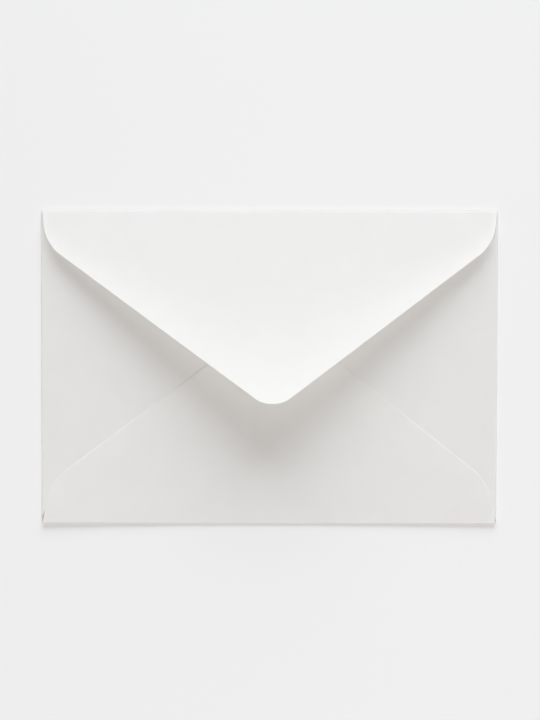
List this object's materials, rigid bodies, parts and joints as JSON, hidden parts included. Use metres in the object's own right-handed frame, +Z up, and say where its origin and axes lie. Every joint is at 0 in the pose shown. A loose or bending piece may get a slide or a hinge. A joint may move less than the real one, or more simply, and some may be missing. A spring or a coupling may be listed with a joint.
{
  "type": "paper envelope",
  "caption": "Small landscape note envelope of plain white paper with diagonal seams and a deep rounded triangular top flap that is sprung slightly open.",
  "frame": {"origin": "middle of the front panel's outer face, which the envelope lies on", "axes": "+X along the long edge, +Y from the bottom fold to the top fold, +Z up out of the back with the flap"},
  "size_m": [0.16, 0.11, 0.0159],
  "materials": {
    "paper": "matte"
  },
  "bodies": {
    "root": {"envelope": "paper"}
  },
  "joints": []
}
